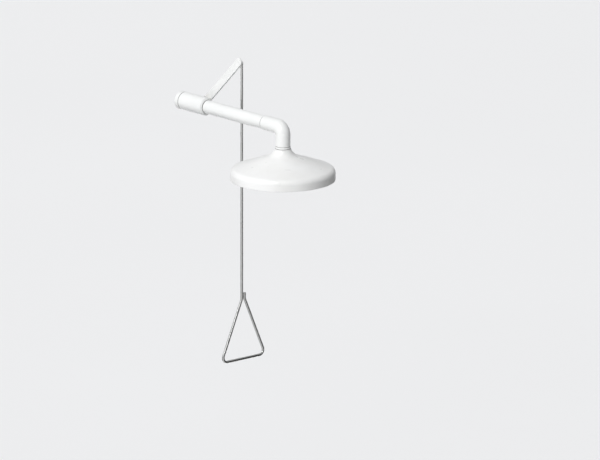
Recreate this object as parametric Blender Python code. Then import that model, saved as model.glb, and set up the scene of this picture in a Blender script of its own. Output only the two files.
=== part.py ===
"""Emergency safety shower: a ball valve with a lever and pull rod, a drench pipe and a bell head.

Metres, +Z up. The origin is the centre of the valve's inlet face. The pipe runs toward -Y, the
lever and the pull rod are on the +X side, and the valve is shown closed.
"""

import math

import bmesh
import bpy
from mathutils import Matrix, Vector

MM = 0.001
GAP = 0.3 * MM  # kept between pieces that touch
OVERRUN = 1.0 * MM  # how far a cutter runs past a face that it opens

# Valve body and its inlet end, as distances along the flow from the inlet face
BODY_R = 22.0 * MM
BODY_SHOULDER = 91.8 * MM
BODY_END = 94.8 * MM
BODY_NOSE_R = 17.6 * MM
ADAPTER_FLANGE = 12.5 * MM
ADAPTER_END = 31.9 * MM
SPIGOT_R = 18.6 * MM
INLET_THREAD_R = 16.4 * MM
INLET_THREAD_DEPTH = 16.0 * MM
PORT_R = 10.5 * MM
CHAMBER_R = 16.8 * MM
CHAMBER_END = 60.4 * MM
O_RING_AT = 25.0 * MM
O_RING_SECTION_R = 1.0 * MM
GROOVE_DEPTH = 2.3 * MM
GROOVE_HALF = 1.4 * MM
EDGE_CHAMFER = 0.8 * MM

# Ball and stem, as distances from the stem's crossing with the flow axis
STEM_AT = 46.2 * MM
BALL_R = 15.0 * MM
BALL_BORE_R = 10.0 * MM
SEAT_BACK = 14.0 * MM
SEAT_FRONT = 7.6 * MM
TANG_WIDTH = 4.0 * MM
TANG_LENGTH = 12.0 * MM
TANG_TIP = 11.5 * MM
COLLAR_R = 7.6 * MM
COLLAR_START = 15.5 * MM
COLLAR_END = 17.6 * MM
COLLAR_BORE_R = 8.0 * MM
THRUST_WASHER_END = 18.6 * MM
BOSS_R = 12.8 * MM
BOSS_ROOT = 14.0 * MM
BOSS_END = 28.5 * MM
PACKING_START = 21.9 * MM
PACKING_R = 6.7 * MM
PACKING_END = 25.5 * MM
STEM_R = 4.5 * MM
STEM_FLATS_AT = 36.1 * MM
STEM_FLAT_HALF = 3.2 * MM
STEM_THREAD_AT = 45.0 * MM
STEM_THREAD_R = 4.0 * MM
STEM_END = 55.9 * MM
GLAND_HEX_FLATS = 14.4 * MM
GLAND_HEX_END = 35.8 * MM
GLAND_LAP = 0.5 * MM

# Travel stop
STOP_PIN_R = 1.5 * MM
STOP_PIN_AT_R = 10.1 * MM
STOP_PIN_START = 22.8 * MM
STOP_PIN_END = 38.2 * MM
STOP_WASHER_R = 10.6 * MM
STOP_WASHER_ROOT_R = 8.2 * MM
STOP_WASHER_START = 36.3 * MM
STOP_WASHER_END = 38.3 * MM
LEVER_TRAVEL = math.radians(90)

# Lever arm and its fixings
LEVER_RISE = math.radians(45)
LEVER_REACH = 167.4 * MM
LEVER_WIDTH = 19.05 * MM
LEVER_THICK = 6.35 * MM
LEVER_FACE = 38.6 * MM
LEVER_EDGE = 0.5 * MM
EYE_R = 4.9 * MM
EYE_SKIN = 1.2 * MM  # left at the front of the blind eye
LOCK_WASHER_R = 6.4 * MM
LOCK_WASHER_THICK = 1.6 * MM
LOCK_WASHER_SPLIT = math.radians(9)
NUT_FLATS = 13.0 * MM
NUT_THICK = 6.5 * MM

# Pull rod and handle
ROD_R = 3.175 * MM
ROD_X = 50.1 * MM
HOOK_TIP_X = 41.3 * MM
HOOK_BEND = 5.0 * MM
BUSH_FLANGE_R = 7.2 * MM
BUSH_FLANGE_THICK = 0.8 * MM
BUSH_BLIND = 0.8 * MM
HANDLE_TOP_Z = -477.2 * MM
HANDLE_BAR_Z = -627.0 * MM
HANDLE_WIDTH = 143.6 * MM
HANDLE_MID_X = 54.7 * MM
HANDLE_CORNER_BEND = 12.0 * MM
HANDLE_TOP_BEND = 7.0 * MM
STUB_RISE = 15.2 * MM
ROD_BEND_STEP = math.radians(12)

# Drench pipe and elbow
PIPE_R = 16.7 * MM
PIPE_BORE_R = 13.3 * MM
PIPE_START = 74.5 * MM
ELBOW_START = 304.5 * MM
PIPE_END = 326.0 * MM
HEAD_AT = 368.7 * MM
ELBOW_R = 18.0 * MM
ELBOW_BEND = 18.6 * MM
ELBOW_BOTTOM_Z = -46.4 * MM
ELBOW_SHOULDER_Z = -26.7 * MM
ELBOW_CHAMFER = 0.4 * MM
ELBOW_BEND_STEPS = 9
ELBOW_STRAIGHT = HEAD_AT - ELBOW_BEND - ELBOW_START
ELBOW_ARC = ELBOW_BEND * math.pi / 2

# Neck and head, heights on the head's axis
COLLAR_TOP_R = 18.0 * MM
COLLAR_BOTTOM_R = 19.3 * MM
COLLAR_BOTTOM_Z = -52.3 * MM
NIPPLE_END_Z = -91.0 * MM
HEAD_R = 128.3 * MM
HEAD_WALL = 3.0 * MM
HEAD_RIM_Z = -129.9 * MM
RIM_BEAD = 1.5 * MM
CONE_APEX_Z = -58.3 * MM
CONE_ANGLE = math.atan(0.357)
FLARE_CENTRE_R = 51.0 * MM
FLARE_CENTRE_Z = -41.3 * MM
FLARE_RADIUS = 33.2 * MM
SHOULDER_RADIUS = 15.0 * MM
HUB_R = 30.0 * MM
HUB_BOTTOM_Z = -78.0 * MM
GASKET_THICK = 2.0 * MM
GASKET_R = 27.0 * MM
LOCK_NUT_R = 29.0 * MM
LOCK_NUT_THICK = 7.0 * MM

# Flow regulator, inside the nipple
REGULATOR_TOP_Z = -60.0 * MM
REGULATOR_HEIGHT = 9.0 * MM
REGULATOR_BORE_R = 5.5 * MM
REGULATOR_POCKET = 4.0 * MM
REGULATOR_RING_AT_R = 9.0 * MM
REGULATOR_RING_SECTION_R = 1.5 * MM

# Spray deflector under the bell
DEFLECTOR_R = 42.0 * MM
DEFLECTOR_THICK = 2.5 * MM
DEFLECTOR_RIM_WIDTH = 6.0 * MM
DEFLECTOR_RIM_DROP = 2.0 * MM
DEFLECTOR_CONE_R = 14.0 * MM
DEFLECTOR_CONE_RISE = 9.0 * MM
SPACER_LENGTH = 15.0 * MM
SPACER_R = 4.2 * MM
SCREW_R = 2.0 * MM
SCREW_HEAD_R = 3.8 * MM
SCREW_HEAD_THICK = 2.4 * MM
SCREW_HEAD_ROUND = 1.0 * MM
SCREW_CIRCLE_R = 23.2 * MM
SCREW_COUNT = 3

# Facets round each kind of turned piece
FINE = 40
MEDIUM = 28
SMALL = 16
TINY = 12
BALL_RINGS = 16
ARC_STEP = math.radians(13)
SEAT_STEP = math.radians(6)

FLOW_TURN = Matrix.Rotation(math.radians(90), 4, "X")  # local +Z becomes -Y
STEM_TURN = Matrix.Rotation(math.radians(90), 4, "Y")  # local +Z becomes +X
STEM_PLACE = Vector((0, -STEM_AT, 0))
HEAD_PLACE = Vector((0, -HEAD_AT, 0))
FROM_LEVER = Matrix.Rotation(-LEVER_RISE, 4, "X").to_euler()  # back to the valve's own axes


def clear_scene():
    for obj in list(bpy.data.objects):
        bpy.data.objects.remove(obj, do_unlink=True)


def material(name, colour, roughness, metallic):
    made = bpy.data.materials.new(name)
    made.use_nodes = True
    shader = made.node_tree.nodes["Principled BSDF"]
    shader.inputs["Base Color"].default_value = (*colour, 1)
    shader.inputs["Roughness"].default_value = roughness
    shader.inputs["Metallic"].default_value = metallic
    return made


def add(name, data, finish, place=(0, 0, 0), turn=None):
    """Links an object, with its finish, at a place and with an optional turn."""
    obj = bpy.data.objects.new(name, data)
    bpy.context.scene.collection.objects.link(obj)
    obj.location = place
    if turn is not None:
        obj.rotation_euler = turn.to_euler()
    if finish is not None:
        obj.data.materials.append(finish)
    return obj


def mesh_from(bm, name):
    """Turns a bmesh into a smooth-shaded mesh whose faces point out."""
    bmesh.ops.remove_doubles(bm, verts=bm.verts, dist=1e-7)
    bmesh.ops.recalc_face_normals(bm, faces=bm.faces)
    mesh = bpy.data.meshes.new(name)
    bm.to_mesh(mesh)
    bm.free()
    mesh.shade_smooth()
    mesh.set_sharp_from_angle(angle=math.radians(30))
    return mesh


def turned_mesh(name, outline, facets=FINE):
    """A turned piece about local Z, from (radius, height) points.

    A closed outline clear of the axis makes a ring. One whose first and last points are on the
    axis makes a solid.
    """
    bm = bmesh.new()
    points = [bm.verts.new((radius, 0, height)) for radius, height in outline]
    ring = outline[0][0] > 0
    pairs = list(zip(points, points[1:]))
    if ring:
        pairs.append((points[-1], points[0]))
    edges = [bm.edges.new(pair) for pair in pairs]
    bmesh.ops.spin(
        bm, geom=points + edges, cent=(0, 0, 0), axis=(0, 0, 1),
        angle=math.tau, steps=facets, use_merge=True,
    )
    return mesh_from(bm, name)


def turned(name, outline, finish, place=(0, 0, 0), turn=None, facets=FINE):
    return add(name, turned_mesh(name, outline, facets), finish, place, turn)


def tube_outline(inner, outer, start, end):
    return [(outer, start), (outer, end), (inner, end), (inner, start)]


def rod_outline(radius, start, end):
    return [(0, start), (radius, start), (radius, end), (0, end)]


def arc(centre, radius, first, last, step=ARC_STEP):
    """Points from angle first to angle last, both included."""
    count = max(1, math.ceil(abs(last - first) / step))
    angles = [first + (last - first) * i / count for i in range(count + 1)]
    return [
        (centre[0] + radius * math.cos(a), centre[1] + radius * math.sin(a)) for a in angles
    ]


def ring_section(at_radius, section, height, sides=8):
    """A round section, for an O-ring."""
    return [
        (at_radius + section * math.cos(a), height + section * math.sin(a))
        for a in (math.tau * i / sides for i in range(sides))
    ]


def plate_mesh(name, outline, start, end):
    """A flat outline of (y, z) points, extruded along X."""
    bm = bmesh.new()
    face = bm.faces.new([bm.verts.new((start, y, z)) for y, z in outline])
    pushed = bmesh.ops.extrude_face_region(bm, geom=[face])["geom"]
    moved = [part for part in pushed if isinstance(part, bmesh.types.BMVert)]
    bmesh.ops.translate(bm, verts=moved, vec=(end - start, 0, 0))
    return mesh_from(bm, name)


def box_mesh(name, low, high):
    outline = [(low[1], low[2]), (high[1], low[2]), (high[1], high[2]), (low[1], high[2])]
    return plate_mesh(name, outline, low[0], high[0])


def hexagon(flats):
    corner = flats / 2 / math.cos(math.radians(30))
    return [
        (corner * math.cos(a), corner * math.sin(a))
        for a in (math.radians(60 * i) for i in range(6))
    ]


def double_d(radius, half):
    """A round outline with two flats, half being the distance from the middle to a flat."""
    reach = math.asin(half / radius)
    top = arc((0, 0), radius, math.pi / 2 + reach, math.pi / 2 - reach)
    return top + [(-y, -z) for y, z in top]


def combine(obj, helper, operation):
    """Adds a Boolean with a hidden helper object."""
    helper.hide_render = True
    helper.display_type = "WIRE"
    modifier = obj.modifiers.new(helper.name, "BOOLEAN")
    modifier.operation = operation
    modifier.solver = "EXACT"
    modifier.object = helper


def cut(obj, helper):
    combine(obj, helper, "DIFFERENCE")


def join(obj, helper):
    combine(obj, helper, "UNION")


def axis_empty(name, place, turn=None):
    empty = bpy.data.objects.new(name, None)
    bpy.context.scene.collection.objects.link(empty)
    empty.location = place
    if turn is not None:
        empty.rotation_euler = turn.to_euler()
    return empty


# ---- valve, fixed pieces ----


def inlet_adapter(finish):
    groove_r = SPIGOT_R - GROOVE_DEPTH
    outline = [
        (BODY_R - EDGE_CHAMFER, 0),
        (BODY_R, EDGE_CHAMFER),
        (BODY_R, ADAPTER_FLANGE),
        (SPIGOT_R, ADAPTER_FLANGE),
        (SPIGOT_R, O_RING_AT - GROOVE_HALF),
        (groove_r, O_RING_AT - GROOVE_HALF),
        (groove_r, O_RING_AT + GROOVE_HALF),
        (SPIGOT_R, O_RING_AT + GROOVE_HALF),
        (SPIGOT_R, ADAPTER_END),
        (PORT_R, ADAPTER_END),
        (PORT_R, INLET_THREAD_DEPTH),
        (INLET_THREAD_R, INLET_THREAD_DEPTH),
        (INLET_THREAD_R, EDGE_CHAMFER),
        (INLET_THREAD_R + EDGE_CHAMFER, 0),
    ]
    turned("inlet_adapter", outline, finish, turn=FLOW_TURN)


def body_o_ring(finish):
    section = ring_section(SPIGOT_R - O_RING_SECTION_R, O_RING_SECTION_R, O_RING_AT)
    turned("body_o_ring", section, finish, turn=FLOW_TURN, facets=MEDIUM)


def seat_outline(side):
    """A seat ring whose inner face follows the ball; side is -1 for the inlet, +1 for the outlet."""
    hollow = BALL_R + GAP
    mouth = math.atan2(math.sqrt(hollow**2 - SEAT_FRONT**2), SEAT_FRONT)
    throat = math.asin(PORT_R / hollow)
    curve = arc((0, 0), hollow, mouth, throat, SEAT_STEP)
    back = STEM_AT + side * SEAT_BACK
    front = STEM_AT + side * SEAT_FRONT
    outline = [(CHAMBER_R - GAP, back), (CHAMBER_R - GAP, front)]
    outline += [(radius, STEM_AT + side * along) for along, radius in curve]
    outline.append((PORT_R, back))
    return outline


def seats(finish):
    for name, side in (("seat_inlet", -1), ("seat_outlet", 1)):
        turned(name, seat_outline(side), finish, turn=FLOW_TURN, facets=MEDIUM)


def flow_cutter():
    """The way through the valve body, as one turned cutter."""
    outline = [
        (0, ADAPTER_FLANGE - OVERRUN),
        (SPIGOT_R + GAP, ADAPTER_FLANGE - OVERRUN),
        (SPIGOT_R + GAP, ADAPTER_END + GAP),
        (CHAMBER_R, ADAPTER_END + GAP),
        (CHAMBER_R, CHAMBER_END),
        (PORT_R, CHAMBER_END),
        (PORT_R, PIPE_START - GAP),
        (PIPE_R + GAP, PIPE_START - GAP),
        (PIPE_R + GAP, BODY_END + OVERRUN),
        (0, BODY_END + OVERRUN),
    ]
    return turned("cut_flow", outline, None, turn=FLOW_TURN)


def stem_cutter():
    """The stem's stepped bore through the boss, from the chamber out."""
    shoulder = THRUST_WASHER_END + GAP
    outline = [
        (0, 0),
        (COLLAR_BORE_R, 0),
        (COLLAR_BORE_R, shoulder),
        (STEM_R + GAP, shoulder),
        (STEM_R + GAP, PACKING_START - GAP),
        (PACKING_R + GAP, PACKING_START - GAP),
        (PACKING_R + GAP, BOSS_END + OVERRUN),
        (0, BOSS_END + OVERRUN),
    ]
    return turned("cut_stem", outline, None, STEM_PLACE, STEM_TURN, MEDIUM)


def stop_pin_place():
    return STEM_PLACE - Vector((0, 0, STOP_PIN_AT_R))


def valve_body(finish):
    start = ADAPTER_FLANGE + GAP
    outline = [
        (0, start),
        (BODY_R, start),
        (BODY_R, BODY_SHOULDER),
        (BODY_NOSE_R, BODY_END),
        (0, BODY_END),
    ]
    body = turned("valve_body", outline, finish, turn=FLOW_TURN)
    boss = rod_outline(BOSS_R, BOSS_ROOT, BOSS_END)
    join(body, turned("add_boss", boss, None, STEM_PLACE, STEM_TURN, MEDIUM))
    hole = rod_outline(STOP_PIN_R + GAP, STOP_PIN_START - GAP, BOSS_END + OVERRUN)
    cut(body, turned("cut_stop_pin", hole, None, stop_pin_place(), STEM_TURN, SMALL))
    cut(body, flow_cutter())
    cut(body, stem_cutter())


def stem_packing(finish):
    outline = tube_outline(STEM_R + GAP, PACKING_R, PACKING_START, PACKING_END)
    turned("stem_packing", outline, finish, STEM_PLACE, STEM_TURN, MEDIUM)


def gland_nut(finish):
    sleeve = rod_outline(PACKING_R, PACKING_END + GAP, BOSS_END + GAP + GLAND_LAP)
    nut = turned("gland_nut", sleeve, finish, STEM_PLACE, STEM_TURN, MEDIUM)
    head = plate_mesh("add_gland_hex", hexagon(GLAND_HEX_FLATS), BOSS_END + GAP, GLAND_HEX_END)
    join(nut, add("add_gland_hex", head, None, STEM_PLACE))
    bore = rod_outline(STEM_R + GAP, PACKING_END - GAP, GLAND_HEX_END + OVERRUN)
    cut(nut, turned("cut_gland_bore", bore, None, STEM_PLACE, STEM_TURN, MEDIUM))


def stop_pin(finish):
    outline = rod_outline(STOP_PIN_R, STOP_PIN_START, STOP_PIN_END)
    turned("stop_pin", outline, finish, stop_pin_place(), STEM_TURN, SMALL)


# ---- pipe, elbow and head ----


def drench_pipe(finish):
    outline = tube_outline(PIPE_BORE_R, PIPE_R, PIPE_START, PIPE_END)
    turned("drench_pipe", outline, finish, turn=FLOW_TURN)


def elbow_station(along):
    """Place and direction on the elbow's centre line, along being the distance from its start."""
    if along <= ELBOW_STRAIGHT:
        return Vector((0, -ELBOW_START - along, 0)), Vector((0, -1, 0))
    if along <= ELBOW_STRAIGHT + ELBOW_ARC:
        angle = (along - ELBOW_STRAIGHT) / ELBOW_BEND
        centre = Vector((0, -HEAD_AT + ELBOW_BEND, -ELBOW_BEND))
        out = Vector((0, -math.sin(angle), math.cos(angle)))
        return centre + ELBOW_BEND * out, Vector((0, -math.cos(angle), -math.sin(angle)))
    drop = along - ELBOW_STRAIGHT - ELBOW_ARC
    return Vector((0, -HEAD_AT, -ELBOW_BEND - drop)), Vector((0, 0, -1))


def elbow(finish):
    """Rings along the outside of the elbow and back along its stepped bore, joined into one skin."""
    length = ELBOW_STRAIGHT + ELBOW_ARC - ELBOW_BOTTOM_Z - ELBOW_BEND
    socket_in = PIPE_END + GAP - ELBOW_START
    socket_out = length + ELBOW_BOTTOM_Z - ELBOW_SHOULDER_Z
    bend_stations = [
        ELBOW_STRAIGHT + ELBOW_ARC * i / ELBOW_BEND_STEPS for i in range(ELBOW_BEND_STEPS + 1)
    ]
    rings = [(0, ELBOW_R - ELBOW_CHAMFER), (ELBOW_CHAMFER, ELBOW_R)]
    rings += [(along, ELBOW_R) for along in bend_stations]
    rings += [(length - ELBOW_CHAMFER, ELBOW_R), (length, ELBOW_R - ELBOW_CHAMFER)]
    rings += [(length, PIPE_R + GAP), (socket_out, PIPE_R + GAP), (socket_out, PIPE_BORE_R)]
    rings += [(along, PIPE_BORE_R) for along in reversed(bend_stations)]
    rings += [(socket_in, PIPE_BORE_R), (socket_in, PIPE_R + GAP), (0, PIPE_R + GAP)]
    bm = bmesh.new()
    loops = []
    for along, radius in rings:
        place, direction = elbow_station(along)
        side = Vector((1, 0, 0))
        up = side.cross(direction)
        loops.append([
            bm.verts.new(place + radius * (math.cos(a) * side + math.sin(a) * up))
            for a in (math.tau * i / MEDIUM for i in range(MEDIUM))
        ])
    for first, second in zip(loops, loops[1:] + loops[:1]):
        for i in range(MEDIUM):
            j = (i + 1) % MEDIUM
            bm.faces.new((first[i], first[j], second[j], second[i]))
    add("elbow", mesh_from(bm, "elbow"), finish)


def neck_collar(finish):
    top = ELBOW_BOTTOM_Z - GAP
    bore = PIPE_R + GAP
    outline = [
        (COLLAR_TOP_R, top),
        (COLLAR_BOTTOM_R, COLLAR_BOTTOM_Z),
        (bore, COLLAR_BOTTOM_Z),
        (bore, top),
    ]
    turned("neck_collar", outline, finish, HEAD_PLACE)


def head_nipple(finish):
    outline = tube_outline(PIPE_BORE_R, PIPE_R, NIPPLE_END_Z, ELBOW_SHOULDER_Z - GAP)
    turned("head_nipple", outline, finish, HEAD_PLACE, facets=MEDIUM)


def cone_z(radius):
    return CONE_APEX_Z - radius * math.tan(CONE_ANGLE)


def shoulder_arc(wall):
    """The rounded shoulder between the cone and the skirt, wall metres inside the outer skin."""
    radius = SHOULDER_RADIUS - wall
    centre_r = HEAD_R - SHOULDER_RADIUS
    reach = SHOULDER_RADIUS / math.cos(CONE_ANGLE)
    centre = (centre_r, cone_z(centre_r) - reach)
    return arc(centre, radius, math.pi / 2 - CONE_ANGLE, 0)


def flare_arc():
    """The concave flare under the neck, down to where it meets the cone."""
    top_angle = math.pi + math.asin((FLARE_CENTRE_Z - COLLAR_BOTTOM_Z + GAP) / FLARE_RADIUS)
    centre = (FLARE_CENTRE_R, FLARE_CENTRE_Z)
    return arc(centre, FLARE_RADIUS, top_angle, 1.5 * math.pi - CONE_ANGLE)


def shower_head(finish):
    """The bell: hub, flare, cone, shoulder and skirt, with its inside one wall in."""
    inner_r = HEAD_R - HEAD_WALL
    outline = flare_arc() + shoulder_arc(0)
    outline += [(HEAD_R, HEAD_RIM_Z + RIM_BEAD), (HEAD_R - RIM_BEAD / 2, HEAD_RIM_Z)]
    outline += [(inner_r + RIM_BEAD / 2, HEAD_RIM_Z), (inner_r, HEAD_RIM_Z + RIM_BEAD / 2)]
    outline += list(reversed(shoulder_arc(HEAD_WALL)))
    hub_top = cone_z(HUB_R) - HEAD_WALL / math.cos(CONE_ANGLE)
    outline += [(HUB_R, hub_top), (HUB_R, HUB_BOTTOM_Z)]
    outline += [(PIPE_R + GAP, HUB_BOTTOM_Z), (PIPE_R + GAP, COLLAR_BOTTOM_Z - GAP)]
    turned("shower_head", outline, finish, HEAD_PLACE)


def gasket_bottom():
    return HUB_BOTTOM_Z - GAP - GASKET_THICK


def lock_nut_bottom():
    return gasket_bottom() - GAP - LOCK_NUT_THICK


def head_gasket(finish):
    outline = tube_outline(PIPE_R + GAP, GASKET_R, gasket_bottom(), HUB_BOTTOM_Z - GAP)
    turned("head_gasket", outline, finish, HEAD_PLACE, facets=MEDIUM)


def screw_places():
    for i in range(SCREW_COUNT):
        angle = math.tau * i / SCREW_COUNT + math.radians(90)
        offset = Vector((math.cos(angle), math.sin(angle), 0)) * SCREW_CIRCLE_R
        yield i + 1, HEAD_PLACE + offset


def head_lock_nut(finish):
    top = gasket_bottom() - GAP
    outline = tube_outline(PIPE_R + GAP, LOCK_NUT_R, lock_nut_bottom(), top)
    nut = turned("head_lock_nut", outline, finish, HEAD_PLACE)
    for number, place in screw_places():
        hole = rod_outline(SCREW_R + GAP, lock_nut_bottom() - OVERRUN, top + OVERRUN)
        cut(nut, turned(f"cut_nut_hole_{number}", hole, None, place, facets=TINY))


def flow_regulator(finish):
    bottom = REGULATOR_TOP_Z - REGULATOR_HEIGHT
    outer = PIPE_BORE_R - GAP
    pocket_in = REGULATOR_RING_AT_R - REGULATOR_RING_SECTION_R - GAP
    pocket_out = REGULATOR_RING_AT_R + REGULATOR_RING_SECTION_R + GAP
    floor = REGULATOR_TOP_Z - REGULATOR_POCKET
    outline = [
        (outer, REGULATOR_TOP_Z),
        (outer, bottom),
        (REGULATOR_BORE_R, bottom),
        (REGULATOR_BORE_R, REGULATOR_TOP_Z),
        (pocket_in, REGULATOR_TOP_Z),
        (pocket_in, floor),
        (pocket_out, floor),
        (pocket_out, REGULATOR_TOP_Z),
    ]
    turned("flow_regulator", outline, finish, HEAD_PLACE, facets=MEDIUM)


def regulator_ring(finish):
    height = REGULATOR_TOP_Z - REGULATOR_POCKET + REGULATOR_RING_SECTION_R + GAP
    section = ring_section(REGULATOR_RING_AT_R, REGULATOR_RING_SECTION_R, height)
    turned("regulator_ring", section, finish, HEAD_PLACE, facets=SMALL)


def deflector_top():
    return lock_nut_bottom() - 2 * GAP - SPACER_LENGTH


def deflector_plate(finish):
    """A shallow dished disc with a cone in its middle that splits the water."""
    top = deflector_top()
    outline = [
        (0, top + DEFLECTOR_CONE_RISE),
        (DEFLECTOR_CONE_R, top),
        (DEFLECTOR_R - DEFLECTOR_RIM_WIDTH, top),
        (DEFLECTOR_R, top - DEFLECTOR_RIM_DROP),
        (DEFLECTOR_R, top - DEFLECTOR_RIM_DROP - DEFLECTOR_THICK),
        (DEFLECTOR_R - DEFLECTOR_RIM_WIDTH, top - DEFLECTOR_THICK),
        (0, top - DEFLECTOR_THICK),
    ]
    plate = turned("deflector_plate", outline, finish, HEAD_PLACE)
    for number, place in screw_places():
        hole = rod_outline(SCREW_R + GAP, top - DEFLECTOR_THICK - OVERRUN, top + OVERRUN)
        cut(plate, turned(f"cut_plate_hole_{number}", hole, None, place, facets=TINY))


def deflector_fixings(spacer_finish, screw_finish):
    top = deflector_top()
    spacer = tube_outline(SCREW_R + GAP, SPACER_R, top + GAP, top + GAP + SPACER_LENGTH)
    under = top - DEFLECTOR_THICK - GAP
    screw = [
        (0, under - SCREW_HEAD_THICK),
        (SCREW_HEAD_R - SCREW_HEAD_ROUND, under - SCREW_HEAD_THICK),
        (SCREW_HEAD_R, under - SCREW_HEAD_THICK / 2),
        (SCREW_HEAD_R, under),
        (SCREW_R, under),
        (SCREW_R, gasket_bottom() - OVERRUN),
        (0, gasket_bottom() - OVERRUN),
    ]
    for number, place in screw_places():
        turned(f"deflector_spacer_{number}", spacer, spacer_finish, place, facets=SMALL)
        turned(f"deflector_screw_{number}", screw, screw_finish, place, facets=SMALL)


# ---- lever, stem and ball ----


def on_lever(obj, lever):
    """Parents a piece made about the stem's axis, with the lever's length along local Z."""
    obj.parent = lever
    return obj


def ball(finish, lever):
    """The ball, closed: its bore stands upright, and its slot lies along the flow."""
    bm = bmesh.new()
    bmesh.ops.create_uvsphere(bm, u_segments=MEDIUM, v_segments=BALL_RINGS, radius=BALL_R)
    sphere = on_lever(add("ball", mesh_from(bm, "ball"), finish), lever)
    sphere.rotation_euler = FROM_LEVER
    bore = turned("cut_ball_bore", rod_outline(BALL_BORE_R, -2 * BALL_R, 2 * BALL_R), None)
    slot_half = TANG_WIDTH / 2 + GAP
    low = (TANG_TIP - GAP, -2 * BALL_R, -slot_half)
    high = (2 * BALL_R, 2 * BALL_R, slot_half)
    slot = add("cut_ball_slot", box_mesh("cut_ball_slot", low, high), None)
    for helper in (bore, slot):
        helper.rotation_euler = FROM_LEVER
        on_lever(helper, lever)
        cut(sphere, helper)


def stem(finish, lever):
    outline = [
        (0, COLLAR_START),
        (COLLAR_R, COLLAR_START),
        (COLLAR_R, COLLAR_END),
        (STEM_R, COLLAR_END),
        (STEM_R, STEM_THREAD_AT),
        (STEM_THREAD_R, STEM_THREAD_AT),
        (STEM_THREAD_R, STEM_END - EDGE_CHAMFER),
        (STEM_THREAD_R - EDGE_CHAMFER, STEM_END),
        (0, STEM_END),
    ]
    piece = on_lever(turned("stem", outline, finish, turn=STEM_TURN, facets=MEDIUM), lever)
    low = (TANG_TIP, -TANG_LENGTH / 2, -TANG_WIDTH / 2)
    high = (COLLAR_START + OVERRUN, TANG_LENGTH / 2, TANG_WIDTH / 2)
    tang = add("add_tang", box_mesh("add_tang", low, high), None)
    tang.rotation_euler = FROM_LEVER
    join(piece, on_lever(tang, lever))
    for name, side in (("cut_stem_flat_a", -1), ("cut_stem_flat_b", 1)):
        near = side * STEM_FLAT_HALF
        far = side * 2 * STEM_R
        low = (STEM_FLATS_AT, min(near, far), -2 * STEM_R)
        high = (STEM_THREAD_AT, max(near, far), 2 * STEM_R)
        cut(piece, on_lever(add(name, box_mesh(name, low, high), None), lever))


def thrust_washer(finish, lever):
    outline = tube_outline(STEM_R + GAP, COLLAR_R, COLLAR_END + GAP, THRUST_WASHER_END)
    on_lever(turned("thrust_washer", outline, finish, turn=STEM_TURN, facets=MEDIUM), lever)


def cut_double_d(obj, name, start, end, lever):
    """Cuts the hole that fits over the stem's two flats."""
    outline = double_d(STEM_R + GAP, STEM_FLAT_HALF + GAP)
    mesh = plate_mesh(name, outline, start - OVERRUN, end + OVERRUN)
    cut(obj, on_lever(add(name, mesh, None), lever))


def stop_washer(finish, lever):
    """A washer with a quarter cut away, which the stop pin runs in from one end to the other."""
    room = math.asin((STOP_PIN_R + GAP) / STOP_PIN_AT_R)
    closed = math.radians(-90) - LEVER_RISE
    start = closed + room
    end = closed - LEVER_TRAVEL - room + math.tau
    outline = arc((0, 0), STOP_WASHER_R, start, end)
    outline += arc((0, 0), STOP_WASHER_ROOT_R, end, start + math.tau)
    mesh = plate_mesh("stop_washer", outline, STOP_WASHER_START, STOP_WASHER_END)
    washer = on_lever(add("stop_washer", mesh, finish), lever)
    cut_double_d(washer, "cut_washer_flats", STOP_WASHER_START, STOP_WASHER_END, lever)


def lever_arm(finish, lever):
    """A flat bar with round ends, its stem hole at one end and its blind eye at the other."""
    half = LEVER_WIDTH / 2
    outline = arc((0, LEVER_REACH), half, 0, math.pi)
    outline += arc((0, 0), half, math.pi, math.tau)
    mesh = plate_mesh("lever_arm", outline, LEVER_FACE, LEVER_FACE + LEVER_THICK)
    arm = on_lever(add("lever_arm", mesh, finish), lever)
    bevel = arm.modifiers.new("edges", "BEVEL")
    bevel.width = LEVER_EDGE
    bevel.segments = 1
    bevel.limit_method = "ANGLE"
    bevel.angle_limit = math.radians(60)
    cut_double_d(arm, "cut_arm_flats", LEVER_FACE, LEVER_FACE + LEVER_THICK, lever)
    hole = rod_outline(EYE_R, LEVER_FACE + EYE_SKIN, LEVER_FACE + LEVER_THICK + OVERRUN)
    eye = turned("cut_eye", hole, None, (0, 0, LEVER_REACH), STEM_TURN, MEDIUM)
    cut(arm, on_lever(eye, lever))


def lock_washer(finish, lever):
    """A split spring washer."""
    start = LEVER_FACE + LEVER_THICK + GAP
    split = LOCK_WASHER_SPLIT
    outline = arc((0, 0), LOCK_WASHER_R, split, math.tau - split)
    outline += arc((0, 0), STEM_THREAD_R + GAP, math.tau - split, split)
    mesh = plate_mesh("lock_washer", outline, start, start + LOCK_WASHER_THICK)
    on_lever(add("lock_washer", mesh, finish), lever)


def lever_nut(finish, lever):
    start = LEVER_FACE + LEVER_THICK + LOCK_WASHER_THICK + 2 * GAP
    mesh = plate_mesh("lever_nut", hexagon(NUT_FLATS), start, start + NUT_THICK)
    nut = on_lever(add("lever_nut", mesh, finish), lever)
    bore = rod_outline(STEM_THREAD_R + GAP, start - OVERRUN, start + NUT_THICK + OVERRUN)
    helper = turned("cut_nut_bore", bore, None, turn=STEM_TURN, facets=MEDIUM)
    cut(nut, on_lever(helper, lever))


# ---- pull rod ----


def rod_bush(finish, eye):
    """A blind flanged bush in the lever's eye, open at the back for the rod's hook."""
    back = LEVER_FACE + LEVER_THICK + GAP
    front = LEVER_FACE + EYE_SKIN + GAP
    outline = [
        (0, front),
        (EYE_R - GAP, front),
        (EYE_R - GAP, back),
        (BUSH_FLANGE_R, back),
        (BUSH_FLANGE_R, back + BUSH_FLANGE_THICK),
        (ROD_R + GAP, back + BUSH_FLANGE_THICK),
        (ROD_R + GAP, front + BUSH_BLIND),
        (0, front + BUSH_BLIND),
    ]
    bush = turned("rod_bush", outline, finish, turn=STEM_TURN, facets=MEDIUM)
    bush.parent = eye


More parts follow.
